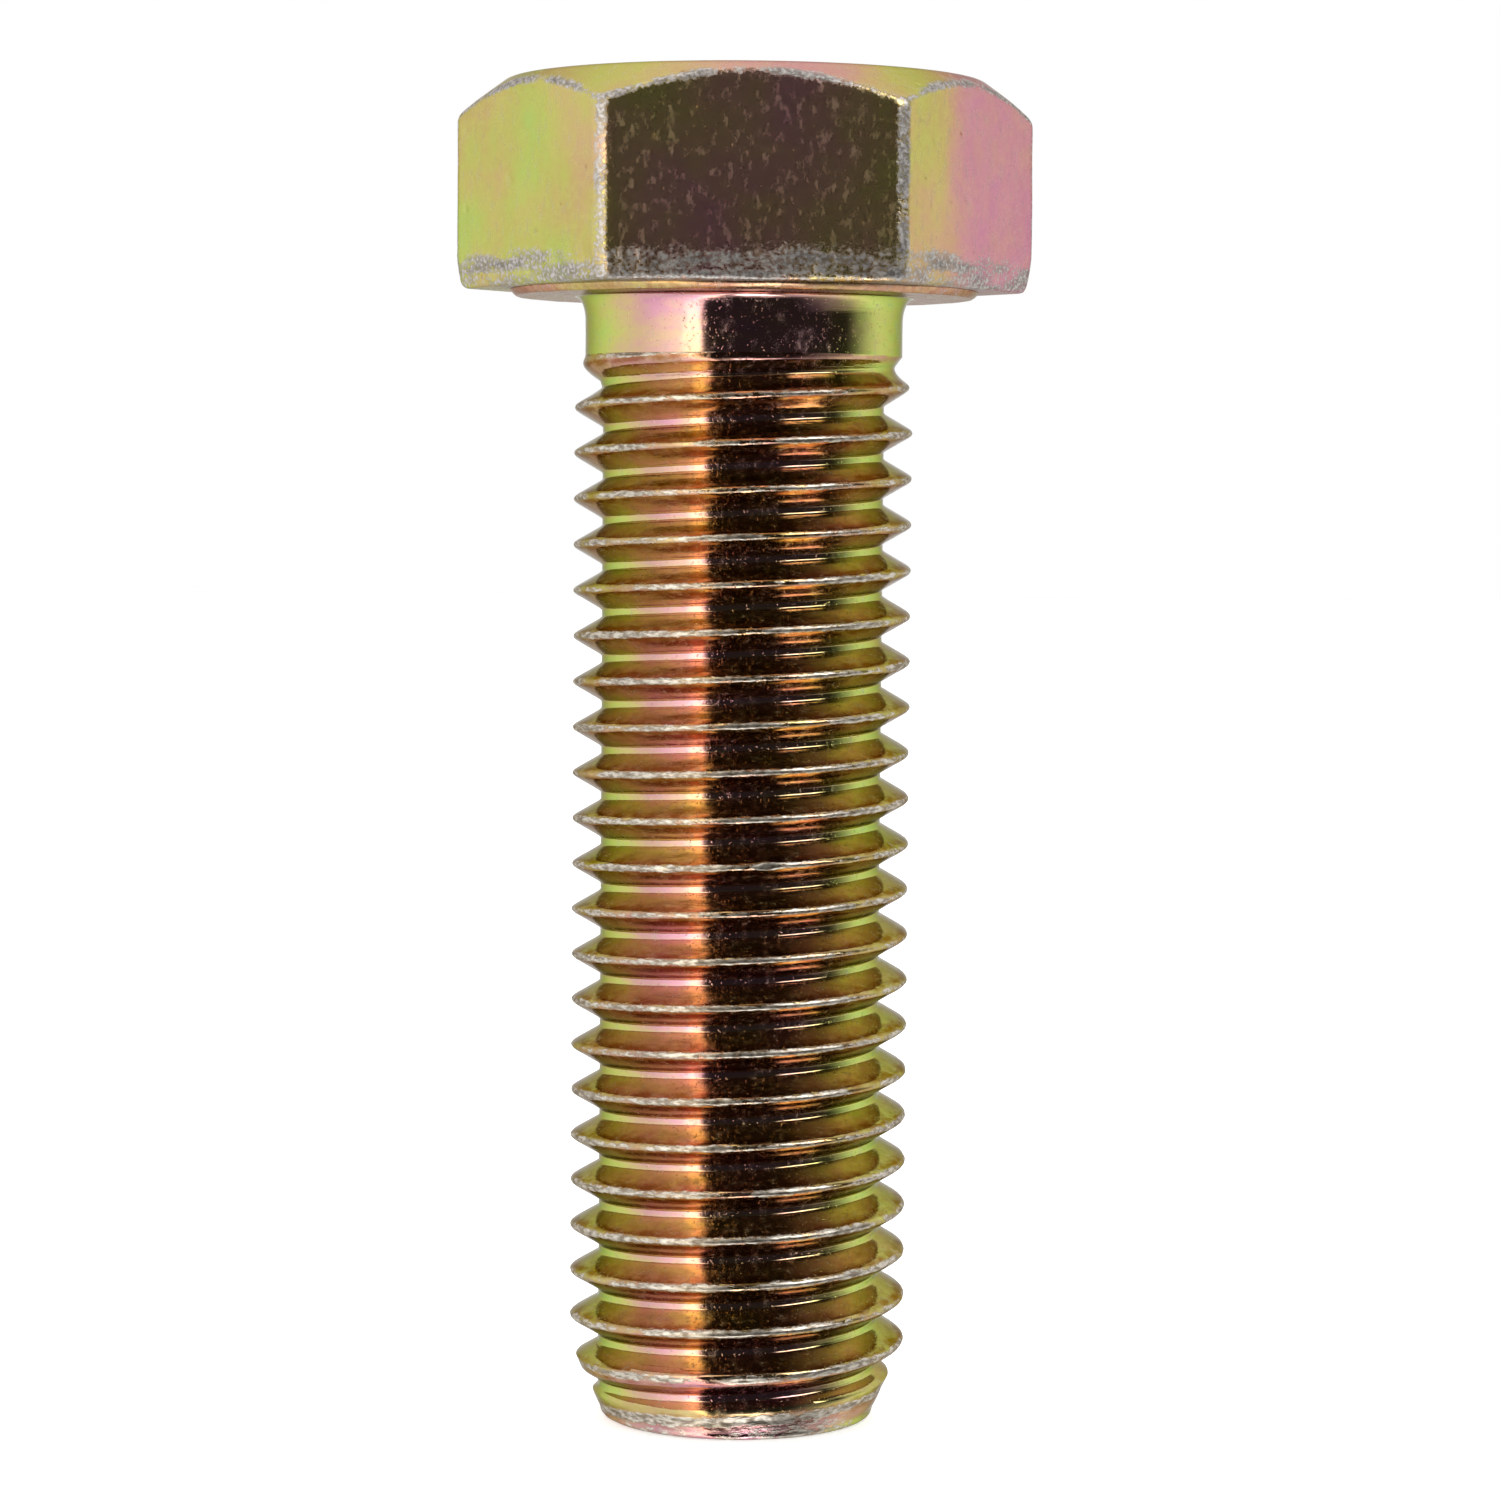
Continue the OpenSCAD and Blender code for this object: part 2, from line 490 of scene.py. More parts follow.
def wear_crest(angle, z, radius):
    """Lowers the crest where it was knocked: a soft ripple and a few nicks, only near the top of
    the profile, a little wider on the lowest turns, with the metal upset in lumps at the tip.
    Returns the worn radius and how bare the metal is: near * (0.1 + 1.3 ripple + nick)."""
    smooth = around(radius, angle, z)
    lowest_turns = np.clip((-z - 38 * MM) / (15 * MM), 0, 1)
    width = 0.26 * MM + 0.06 * MM * lowest_turns
    near = np.clip(1.2 - off_crest(angle, z) / width, 0, 1)
    ripple = 0.5 + 0.7 * cloud(smooth * [0.6, 0.6, 1], 1.3 * MM, 11)
    nick = spots(smooth, 3.2 * MM, 0.8 * MM, 0.35, 21)
    rough = 0.022 * MM * lumps(smooth, 0.4 * MM, 31)
    at_tip = np.clip(1.5 - (z - tip_z) / (2.5 * MM), 0, 1)
    upset = np.abs(0.07 * MM * cloud(smooth * [0.4, 0.4, 1], 0.9 * MM, 33) * at_tip)
    knocked = near * (0.05 * MM * ripple + 0.15 * MM * nick)
    bare = np.clip(near * (0.1 + 1.3 * ripple + nick), 0, 1)
    return radius - knocked + rough * (0.15 + near) - upset, bare


heights = np.linspace(-0.020, -0.020 - pitch, 7)
print("profile over one pitch, mm:", np.round(1000 * thread_radius(0.0, heights), 2))

# %% [markdown]
# ## Rows that follow the helix
#
# A level grid would cut the narrow crest into steps. Here each row of points climbs by one pitch
# in a turn, as the crest does, so the crest is a chain of edges. Where a row passes an end of the
# piece it is held at that level, and the points that fall together become one. The rows stand
# closer at crest and root, where the profile bends.

# %% Helical grid
def helical_grid(z_top, z_bottom, columns, rows_per_pitch):
    """Angles and heights of rows that descend from crest to crest, and their triangles.
    Depth below a crest is pitch * (t - 0.6 sin(4 pi t) / (4 pi)) for t from 0 to 1."""
    first = math.ceil((z_top - crest_phase) / pitch) + 1
    turns = first - math.floor((z_bottom - crest_phase) / pitch) + 2
    row = np.arange(turns * rows_per_pitch)
    t = (row % rows_per_pitch) / rows_per_pitch
    depth = pitch * (row // rows_per_pitch + t - 0.6 * np.sin(4 * np.pi * t) / (4 * np.pi))
    angle = 2 * np.pi * np.arange(columns) / columns
    free = crest_phase + pitch * (first + angle[:, None] / (2 * np.pi)) - depth[None, :]
    z = np.clip(free, z_bottom, z_top)
    upper = (free >= z_top).sum(axis=1) - 1
    lower = len(row) - (free <= z_bottom).sum(axis=1)
    held = np.clip(row[None, :], upper[:, None], lower[:, None])
    index = np.arange(columns)[:, None] * len(row) + held
    here = index[:, rows_per_pitch:]
    below = np.concatenate([index[1:, rows_per_pitch:], index[:1, :-rows_per_pitch]])
    quads = np.stack([here[:, :-1], here[:, 1:], below[:, 1:], below[:, :-1]], axis=-1)
    triangles = halved(quads.reshape(-1, 4))
    a, b, c = triangles.T
    triangles = triangles[(a != b) & (b != c) & (a != c)]
    used, renumbered = np.unique(triangles, return_inverse=True)
    rims = [np.searchsorted(used, np.arange(columns) * len(row) + end) for end in (upper, lower)]
    angles = np.repeat(angle, len(row))[used]
    return angles, z.reshape(-1)[used], renumbered.reshape(-1, 3), rims


trial_turns = helical_grid(-10 * MM, -10 * MM - 3 * pitch, 36, 8)
print("three coarse turns:", len(trial_turns[0]), "points,", len(trial_turns[2]), "triangles")

# %% [markdown]
# ## Film with painted sheen, and brown tint with painted shade, on the thread
#
# The film lies in long zones round the shank, thick and thin by turns, set by the bearing from
# the lens: thicker facing the lens and facing away, thinner at the sides. This is painted sheen,
# the film's colour shift between face-on and grazing views. Brown smears darken the flanks, and
# painted shade darkens a narrow line along each side of a crest. Both are painted on the points,
# one number each, for the finish to read.

# %% Film with painted sheen, and brown tint with painted shade, on the thread
THREAD_FILM = 597


def down_the_pitch(points):
    """How far a point is below the crest above it, as a share of the pitch: 0 at a crest, 0.5 in
    the root."""
    angle = np.arctan2(points[:, 1], points[:, 0])
    turns = (crest_phase + pitch * angle / (2 * math.pi) - points[:, 2]) / pitch
    return turns - np.floor(turns)


def film_and_sheen_on_thread(points):
    """Thickness in nanometres: THREAD_FILM, plus a painted sheen by tanh(3 (cos(2 bearing + 15
    degrees) - 0.09)), bearing 0 at the lens, thicker face-on and thinner at the sides, that differs
    more in the root than on the flanks, plus a sine of the way down the pitch, which sets the
    flanks of a groove apart, plus soft patches."""
    bearing = np.arctan2(points[:, 1], points[:, 0]) + math.pi / 2
    # Painted sheen: thicker facing the lens and away from it, thinner at the sides.
    sheen_by_bearing = np.tanh(3 * (np.cos(2 * bearing + math.radians(15)) - 0.09))
    threaded = points[:, 2] < thread_top
    down = down_the_pitch(points)
    groove = np.where(threaded, np.exp(-(((down - 0.5) / 0.09) ** 2)), 1.0)
    across = 15 * np.sin(2 * np.pi * down) * threaded
    patches = 12 * cloud(points, 6 * MM, 41) + 15 * cloud(points * [0.4, 0.4, 1], 1.0 * MM, 51)
    return THREAD_FILM - 6 * groove + (9 + 23 * groove) * sheen_by_bearing + across + patches


def dirt_and_shade_on_thread(points):
    """How much brown tint, from 0 to about 1: half on the flanks, more in a narrow line of painted
    shade along each side of a crest, none in the root and on the neck, all times soft streaks."""
    down = down_the_pitch(points)
    flank = np.clip((np.abs(down - 0.5) - 0.07) / 0.28, 0, 1) ** 0.6
    broad = 0.25 * cloud(points, 3 * MM, 55)
    thin = 0.2 * cloud(points * [0.15, 0.15, 1], 0.5 * MM, 57)
    # Painted shade: a dark line along each side of a crest.
    shade_beside_crest = 0.65 * np.exp(-(((np.abs(down - 0.5) - 0.38) / 0.045) ** 2))
    return np.where(points[:, 2] < thread_top, 0.5 * flank + shade_beside_crest, 0.0) * (0.85 + broad + thin)


lap = around(root_r, np.linspace(-math.pi, math.pi, 361), np.full(361, -30 * MM))
print("film on one lap of the shank, nm:", np.round(np.percentile(film_and_sheen_on_thread(lap), (0, 50, 100))))

# %% [markdown]
# ## The rolled thread
#
# Now the shank can be made: the helical grid gives angles and heights, the profile and its wear
# give the radius, and a fan of triangles closes each end.

# %% Rolled thread
THREAD_COLUMNS = 156
THREAD_ROWS = 26


def make_thread():
    """The rolled thread from the neck to the start of the point, closed at both ends."""
    angle, z, faces, (upper, lower) = helical_grid(thread_top, point_top, THREAD_COLUMNS, THREAD_ROWS)
    radius, bare = wear_crest(angle, z, thread_radius(angle, z))
    points = around(radius, angle, z)
    count = len(points)
    points = np.concatenate([points, [[0, 0, thread_top], [0, 0, point_top]]])
    faces = np.concatenate([faces, fan(upper, count), fan(lower, count + 1, flip=True)])
    film_and_sheen = film_and_sheen_on_thread(points)
    dirt_and_shade = dirt_and_shade_on_thread(points)
    bare = np.append(bare, [0, 0])
    return make_piece("rolled_thread", points, faces, {"film_and_sheen": film_and_sheen, "bare": bare, "dirt_and_shade": dirt_and_shade})


rolled_thread = make_thread()

# %% [markdown]
# ## The point
#
# The wire's end is turned to a short cone before rolling, so the thread gets shallower on it and
# stops. The end face was sheared: it is flat, a little dished, and its rim is rounded.

# %% Point
RIM_ROUND = 0.35 * MM
rim_z = tip_z + RIM_ROUND


def end_face(edge_r, edge_angle):
    """Rows of points from the lower edge of the thread to near the centre of the end: round the
    rim on a quarter circle of 0.35 mm, then level, lifted inside 6.6 mm by an uneven dish."""
    bend = np.radians(np.linspace(0, 90, 7)[1:])
    rows = [(edge_r - RIM_ROUND * (1 - np.cos(b)), rim_z - RIM_ROUND * np.sin(b)) for b in bend]
    inner = edge_r - RIM_ROUND
    rows += [(inner * share, tip_z) for share in np.linspace(1, 0.06, 15)[1:]]
    face = np.stack([around(r, edge_angle, np.full(len(edge_angle), h)) for r, h in rows])
    dished = np.hypot(face[..., 0], face[..., 1]) < 6.6 * MM
    dish = 0.10 * MM + 0.06 * MM * cloud(face, 3 * MM, 61) + 0.02 * MM * lumps(face, 0.5 * MM, 62)
    face[..., 2] += dished * dish
    return face


def make_point():
    """The last turns of thread under the cone, joined row by row to the end face. The lowest
    2.4 mm are scuffed bare in patches, with a little thicker chromate and less brown tint and
    painted shade."""
    angle, z, faces, (upper, lower) = helical_grid(point_top, rim_z, THREAD_COLUMNS, THREAD_ROWS)
    radius, bare = wear_crest(angle, z, thread_radius(angle, z))
    side = around(radius, angle, z)
    face = end_face(radius[lower], angle[lower])
    rows, columns = face.shape[:2]
    start = len(side)
    centre = start + rows * columns
    ends = [[0, 0, face[-1, :, 2].mean()], [0, 0, point_top]]
    points = np.concatenate([side, face.reshape(-1, 3), ends])
    first_row = start + np.arange(columns)
    last_row = first_row + (rows - 1) * columns
    joint = np.stack([lower, first_row, np.roll(first_row, -1), np.roll(lower, -1)], axis=-1)
    end_quads = np.concatenate([joint, start + grid_faces(rows, columns)])
    fans = [fan(last_row, centre, flip=True), fan(upper, centre + 1)]
    faces = np.concatenate([faces, halved(end_quads), *fans])
    low = np.clip(1 - (points[:, 2] - tip_z) / (2.4 * MM), 0, 1)
    scuffed = np.append(bare, np.zeros(len(points) - len(side)))
    scuffed = np.clip(scuffed + low * (0.5 + 0.6 * cloud(points * [0.5, 0.5, 1], 1.6 * MM, 63)), 0, 1)
    film_and_sheen = film_and_sheen_on_thread(points) + 6
    dirt_and_shade = 0.6 * dirt_and_shade_on_thread(points)
    return make_piece("rolled_point", points, faces, {"film_and_sheen": film_and_sheen, "bare": scuffed, "dirt_and_shade": dirt_and_shade})


rolled_point = make_point()

# %% [markdown]
# ## The neck
#
# Between the head and the first thread the wire stays round. A concave fillet, a quarter of an
# ellipse, leads from it out to the bearing face, which keeps the head from snapping off there.
# The neck is clean: no bare metal and no oil.

# %% Neck
def make_neck():
    """Turned surface: a stub inside the head, the fillet down to the neck, and the neck down to
    the thread. Fillet: radius neck + out (1 - cos t), height -fillet height (1 - sin t)."""
    columns = 192
    t = np.radians(np.linspace(90, 0, 19))
    out = bearing_r - neck_r
    radius = np.concatenate([[bearing_r], neck_r + out * (1 - np.cos(t)), np.full(24, neck_r)])
    straight = np.linspace(-fillet_height, thread_top, 25)[1:]
    z = np.concatenate([[ring_t], -fillet_height * (1 - np.sin(t)), straight])
    r, h, a = turned(radius, z, columns)
    smooth = around(r, a, h)
    free = np.clip((h - thread_top) / (0.6 * MM), 0, 1) * np.clip(-h / (0.3 * MM), 0, 1)
    dents = 0.03 * MM * cloud(smooth, 2.5 * MM, 71) + 0.006 * MM * lumps(smooth, 0.5 * MM, 72)
    points = around(r + free * dents, a, h).reshape(-1, 3)
    count = len(points)
    points = np.concatenate([points, [[0, 0, ring_t], [0, 0, thread_top]]])
    triangles = halved(grid_faces(len(radius), columns))
    top = np.arange(columns)
    bottom = count - columns + top
    faces = np.concatenate([triangles, fan(top, count), fan(bottom, count + 1, flip=True)])
    film_and_sheen = film_and_sheen_on_thread(points) + 12 * cloud(points, 4 * MM, 73)
    none = np.zeros(len(points))
    return make_piece("plain_neck", points, faces, {"film_and_sheen": film_and_sheen, "bare": none, "dirt_and_shade": none})


plain_neck = make_neck()

# %% [markdown]
# ## The bearing ring
#
# A low turned ring stands under the hexagon and is what presses on the work. It is a closed
# band: down the wall, across the bearing face, up the hole that the neck fills.

# %% Bearing ring
RING_FILM = 603


def make_ring():
    """A rectangular profile carried round the axis, its outer corner cut to a rounded slope: 0.4
    of a quarter circle plus 0.6 of a straight line. The outer wall is ragged, the face uneven."""
    columns = 288
    corner = 0.34 * MM
    bend = np.radians(np.linspace(0, 90, 9))
    wall = np.linspace(ring_t, corner, 6)[:-1]
    face = np.linspace(ring_r - corner, bearing_r, 22)[1:]
    even = bend / bend[-1]
    slope_in = 0.4 * (1 - np.cos(bend)) + 0.6 * even
    slope_down = 0.4 * (1 - np.sin(bend)) + 0.6 * (1 - even)
    radius = np.concatenate([np.full(5, ring_r), ring_r - corner * slope_in, face, [bearing_r]])
    z = np.concatenate([wall, corner * slope_down, np.zeros(21), [ring_t]])
    r, h, a = turned(radius, z, columns)
    smooth = around(r, a, h)
    outer = np.clip((r - bearing_r) / (0.6 * MM), 0, 1)
    ragged = r + outer * (0.05 * MM * cloud(smooth, 1.6 * MM, 81) - 0.05 * MM)
    lifted = h + outer * (h < ring_t - 1e-7) * 0.012 * MM * (1 + lumps(smooth, 0.7 * MM, 82))
    points = around(ragged, a, lifted).reshape(-1, 3)
    last_row = (len(radius) - 1) * columns
    closing = grid_faces(2, columns)
    closing = np.where(closing < columns, closing + last_row, closing - columns)
    faces = np.concatenate([grid_faces(len(radius), columns), closing])
    film_and_sheen = RING_FILM + 30 * cloud(points, 5 * MM, 83) + 10 * cloud(points, 1 * MM, 84)
    bare = 0.25 + 0.25 * cloud(points, 1.5 * MM, 85)
    painted = {"film_and_sheen": film_and_sheen, "bare": bare, "dirt_and_shade": np.full(len(points), 0.4)}
    return make_piece("bearing_ring", points, faces, painted)


bearing_ring = make_ring()

# %% [markdown]
# ## The head
#
# The head is upset in a die and then trimmed to six flats. Round the top a 36 degree chamfer
# takes the corners off, so its lower edge rises over each flat and dips at each corner. Rows of
# a level grid would cross that edge, so here each column of the grid has its own profile, and
# its rows are dealt out between the profile's corners: the edge always lies on a row.

# %% Head outline
CHAMFER = math.radians(36)
top_r = 13.2 * MM


def hexagon_radius(angle):
    """Distance from the axis to the hexagon: the flat distance divided by the cosine from the
    nearest flat, with blunt corners, under the forged corner radius."""
    sixth = math.pi / 3
    shifted = angle + math.pi / 2
    near = shifted - np.round(shifted / sixth) * sixth
    this = flat_r / np.cos(near)
    next_one = flat_r / np.cos(np.abs(near) - sixth)
    return soft_min(soft_min(this, next_one, 0.55 * MM), np.full_like(angle, corner_r), 0.25 * MM)


def shoulder_height(full):
    """Height of the chamfer's lower edge where the hexagon's radius is full."""
    return head_top - (full - top_r) * math.tan(CHAMFER)


def unit(vectors):
    """Vectors of length 1."""
    return vectors / np.linalg.norm(vectors, axis=-1, keepdims=True)


def bend_rows(before, corner, after, reach, count):
    """Rows round one corner of a profile: a quadratic curve that starts reach before the corner
    and ends reach after it. Each argument is an array of (radius, height) pairs."""
    start = corner + reach * unit(before - corner)
    stop = corner + reach * unit(after - corner)
    t = np.linspace(0, 1, count)[:, None, None]
    return (1 - t) ** 2 * start + 2 * t * (1 - t) * corner + t**2 * stop


def straight_rows(start, stop, count):
    """Rows strictly between two rows of points."""
    t = np.linspace(0, 1, count + 2)[1:-1, None, None]
    return start + t * (stop - start)


chamfer_edge = shoulder_height(hexagon_radius(np.radians([0.0, 30.0])))
print("chamfer's edge at a corner and on a flat, mm:", np.round(1000 * chamfer_edge, 2))

# %% [markdown]
# The profile goes from the hole under the head out along the underside, round the trimmed lower
# edge, up the flat, over the chamfer's edge and across the top.

# %% Head profile
def head_profile(angle):
    """Rows of (radius, height) for each angle, from the underside's hole to near the centre of
    the top: straight stretches between the profile's corners, and a bend round each corner."""
    full = hexagon_radius(angle)
    ones = np.ones_like(angle)
    trim = 0.3 * MM
    hole = np.stack([bearing_r * ones, ring_t * ones], -1)
    low_out = np.stack([full - trim, ring_t * ones], -1)
    band_top = np.stack([full, (ring_t + 1.9 * MM) * ones], -1)
    shoulder = np.stack([full, shoulder_height(full)], -1)
    crown = np.stack([top_r * ones, head_top * ones], -1)
    middle = np.stack([0.4 * MM * ones, head_top * ones], -1)
    up = unit(crown - shoulder)
    parts = [
        hole[None],
        straight_rows(hole, low_out + [-0.5 * MM, 0], 12),
        bend_rows(hole, low_out, band_top, 0.45 * MM, 9),
        straight_rows(low_out + [0.08 * MM, 0.5 * MM], band_top - [0.03 * MM, 0.2 * MM], 8),
        bend_rows(low_out, band_top, shoulder, 0.15 * MM, 4),
        straight_rows(band_top + [0, 0.16 * MM], shoulder - [0, 0.46 * MM], 58),
        bend_rows(band_top, shoulder, crown, 0.42 * MM, 9),
        straight_rows(shoulder + 0.46 * MM * up, crown - 0.3 * MM * up, 12),
        bend_rows(shoulder, crown, middle, 0.3 * MM, 5),
        straight_rows(crown - [0.35 * MM, 0], middle, 24),
        middle[None],
    ]
    return np.concatenate(parts)


print("rows in the head's profile:", len(head_profile(np.zeros(1))))

# %% [markdown]
# ## Wear, and film with painted sheen, on the head
#
# The trimmed band at the bottom is dragged bare, the corners and the chamfer's edge are scuffed,
# and small pocks hold dirt. The film on the flats goes from green to pink round the head, thicker
# on the front flat that faces the lens, and fades to an even tone at the centre of the top. These
# tints are partly the plating's own unevenness and partly painted sheen, the colours that the
# flats show at their angles to the lens.

# %% Wear, and film with painted sheen, on the head
HEAD_FILM = 602


def bare_on_head(points):
    """How bare the metal is: the most of the blunt corners, the chamfer's edge and the trimmed
    band, each fading over a fraction of a millimetre and broken up by a cloud."""
    full = hexagon_radius(np.arctan2(points[:, 1], points[:, 0]))
    over_shoulder = points[:, 2] - shoulder_height(full)
    patchy = 0.75 + 0.5 * cloud(points, 1.4 * MM, 96)
    corner = np.clip((full - 15.82 * MM) / (0.15 * MM), 0, 1)
    blunt = 0.9 * corner * np.clip(1 - over_shoulder / (0.4 * MM), 0, 1)
    edge = np.clip(1.1 - np.abs(over_shoulder) / (0.45 * MM), 0, 1)
    trimmed = 0.72 * np.clip(1.4 - np.abs(points[:, 2] - ring_t - 0.7 * MM) / (1.3 * MM), 0, 1)
    dragged = 0.85 + 0.7 * cloud(points * [0.2, 0.2, 1], 0.5 * MM, 98)
    return np.clip(np.maximum(np.maximum(blunt, edge) * patchy, trimmed * dragged), 0, 1)


def grime_on_head(points):
    """How much dirt stays, from 0 to 1: a thin uneven veil plus small round pocks."""
    pocked = 0.8 * spots(points, 1.2 * MM, 0.26 * MM, 0.35, 99)
    return np.clip(0.06 + 0.12 * cloud(points, 5 * MM, 97) + pocked, 0, 1)


def film_and_sheen_on_head(points):
    """Thickness in nanometres: HEAD_FILM, plus a drift round the head by tanh(6 out
    sin(bearing - 50 degrees)), which fades by out, the square of the share of the way out from
    the axis, plus 34 on the flat facing the lens, plus large and small patches. Drift and extra
    are partly the plating's own unevenness and partly painted sheen, the tints that the flats show
    at their angles to the lens."""
    bearing = np.arctan2(points[:, 0], -points[:, 1])
    out = np.minimum(np.hypot(points[:, 0], points[:, 1]) / flat_r, 1) ** 2
    # Partly the plating's unevenness, partly painted sheen: each flat gets the tint it shows at its angle
    # to the lens.
    drift = np.tanh(6 * out * np.sin(bearing - math.radians(50)))
    front = np.exp(-((bearing / math.radians(30)) ** 4))
    patches = (23 - 13 * drift) * cloud(points, 4 * MM, 43) + 9 * cloud(points, 1.5 * MM, 44)
    return HEAD_FILM + 28 * drift + 34 * front + patches


lap = around(flat_r, np.linspace(-math.pi, math.pi, 361), np.full(361, 6 * MM))
print("film on one lap of the head, nm:", np.round(np.percentile(film_and_sheen_on_head(lap), (0, 50, 100))))

# %% [markdown]
# ## The forged head
#
# The flats keep the die's faint hills, a fine grain and pits, and the trimmed band is torn. All of
# them push the smooth surface in by a fraction of a millimetre.

# %% Forged head
def make_head():
    """The head's profile for every column, pushed in and out by hills, grain, tears and pits.
    Columns stand closer near the corners: angle = even - sin(6 even) / 12."""
    columns = 528
    even = 2 * np.pi * np.arange(columns) / columns
    angle = even - 0.5 * np.sin(6 * even) / 6
    profile = head_profile(angle)
    r, h = profile[..., 0], profile[..., 1]
    a = np.broadcast_to(angle, r.shape)
    smooth = around(r, a, h)
    side = np.clip((r - 12.4 * MM) / (0.4 * MM), 0, 1)
    above = np.clip((h - ring_t) / (0.2 * MM), 0, 1)
    band = np.clip(1 - (h - ring_t - 1.4 * MM) / (0.6 * MM), 0, 1) * above
    hills = 0.045 * MM * cloud(smooth, 5 * MM, 91)
    grain = 0.010 * MM * cloud(smooth * [1, 1, 0.45], 0.6 * MM, 92)
    torn = 0.09 * MM * cloud(smooth * [1, 1, 0.3], 0.9 * MM, 93)
    pits = 0.09 * MM * spots(smooth, 1.5 * MM, 0.42 * MM, 0.3, 94)
    inward = side * above * (hills + grain + band * torn - pits - 0.05 * MM)
    sunk = (1 - side) * (h > ring_t + 5 * MM) * (0.03 * MM * cloud(smooth, 3 * MM, 95) - 0.03 * MM)
    points = around(r + inward, a, h + sunk).reshape(-1, 3)
    count = len(points)
    points = np.concatenate([points, [[0, 0, ring_t], [0, 0, head_top - 0.03 * MM]]])
    first_row = np.arange(columns)
    last_row = count - columns + first_row
    triangles = halved(grid_faces(len(profile), columns)[:, ::-1])
    fans = [fan(first_row, count, flip=True), fan(last_row, count + 1)]
    faces = np.concatenate([triangles, *fans])
    painted = {"film_and_sheen": film_and_sheen_on_head(points), "bare": bare_on_head(points), "dirt_and_shade": grime_on_head(points)}
    return make_piece("forged_head", points, faces, painted)


forged_head = make_head()

# %% [markdown]
# ## The film's colours
#
# Light that reflects from the top of the film meets light that went down to the zinc and back.
# Colours whose wavelength fits the path come out strong, others cancel. For each of red, green
# and blue the strength is the mean plus a cosine of the path over the wavelength, and the
# contrast fades as the film gets thicker. The chromate itself is a yellow dye, which takes some
# blue away. A colour ramp holds the result, so a painted thickness picks its colour.

# %% Film colours
FILM_THIN = 480.0
FILM_THICK = 720.0
WAVELENGTHS = np.array([620.0, 540.0, 450.0])
THREAD_DYE = np.array([0.96, 0.92, 0.70])
HEAD_DYE = np.array([1.0, 0.90, 0.72])


def film_colour(nanometres, dye):
    """Reflected colour: 0.50 + contrast * cos(4 pi path / wavelength) for each of three
    wavelengths, times the dye."""
    contrast = 0.38 * np.exp(-((nanometres / 900) ** 2))
    wave = np.cos(4 * np.pi * nanometres / WAVELENGTHS)
    return np.clip((0.50 + contrast * wave) * dye, 0.02, 1)


def fill_ramp(ramp, dye, stops=25):
    """Spreads the film's colours evenly over a colour ramp."""
    elements = ramp.color_ramp.elements
    for place in np.linspace(0, 1, stops)[1:-1]:
        elements.new(float(place))
    for element in elements:
        thickness = FILM_THIN + (FILM_THICK - FILM_THIN) * element.position
        element.color = (*film_colour(thickness, dye).tolist(), 1)


for nm in (540, 580, 620, 660):
    print(nm, "nm:", np.round(film_colour(nm, HEAD_DYE), 2))

# %% [markdown]
# ## Noise and painted values
#
# The finish reads three painted numbers, film_and_sheen, bare and dirt_and_shade, and noise in
# object coordinates.
# Squeezed coordinates draw a noise out: round the shank, the way the dies dragged the metal.

# %% Noise and painted values
def noise(tree, coordinates, scale, detail, roughness):
    """Noise texture in object coordinates; scale is in cells per metre."""
    node = add_node(tree, "ShaderNodeTexNoise")
    node.inputs["Scale"].default_value = scale
    node.inputs["Detail"].default_value = detail
    node.inputs["Roughness"].default_value = roughness
    tree.links.new(coordinates, node.inputs["Vector"])
    return node.outputs["Fac"]


def squeezed(tree, coordinates, scale):
    """Coordinates times a scale for each axis; a noise gets longer where the scale is small."""
    node = add_node(tree, "ShaderNodeMapping")
    node.inputs["Scale"].default_value = scale
    tree.links.new(coordinates, node.inputs["Vector"])
    return node.outputs[0]


def painted_value(tree, name):
    """The number painted on the points under that name."""
    return add_node(tree, "ShaderNodeAttribute", attribute_name=name).outputs["Fac"]


def tint(tree, share, colour, veil):
    """Multiplies a colour by a veil, by a share from 0 to 1."""
    node = add_node(tree, "ShaderNodeMix", data_type="RGBA", blend_type="MULTIPLY")
    tree.links.new(share, node.inputs["Factor"])
    tree.links.new(colour, node.inputs[6])
    node.inputs[7].default_value = veil
    return node.outputs[2]


# %% [markdown]
# ## Layers of the finish
#
# From the zinc outwards: film colour from the painted thickness, with its painted sheen, brown
# oil and painted shade in smears over it, pale grey stains, and bare zinc where the piece was
# knocked. The surface isn't even at a small scale either, because a reflection that is perfectly
# even reads as plastic: fine grain, sparse grit, chipped specks, and on the rolled parts the lines
# that the dies leave.

# %% Layers of the finish
# Brown of the oil, and of the painted shade along the crests.
DIRT_AND_SHADE_BROWN = (0.52, 0.34, 0.24, 1)
STAIN_GREY = (0.50, 0.48, 0.40, 1)
EDGE_REFLECTION = (0.44, 0.40, 0.34, 1)


def film_layer(tree, dye, fine, wobble):
    """Colour of the film: thickness is the painted one plus wobble * (fine - 1/2), and its place
    between FILM_THIN and FILM_THICK is looked up on the ramp."""
    thickness = plus(tree, painted_value(tree, "film_and_sheen"), times(tree, minus(tree, fine, 0.5), wobble))
    over = minus(tree, thickness, FILM_THIN)
    ramp = add_node(tree, "ShaderNodeValToRGB")
    fill_ramp(ramp, dye)
    tree.links.new(math_node(tree, "DIVIDE", over, FILM_THICK - FILM_THIN, clamp=True), ramp.inputs["Fac"])
    return ramp.outputs["Color"]


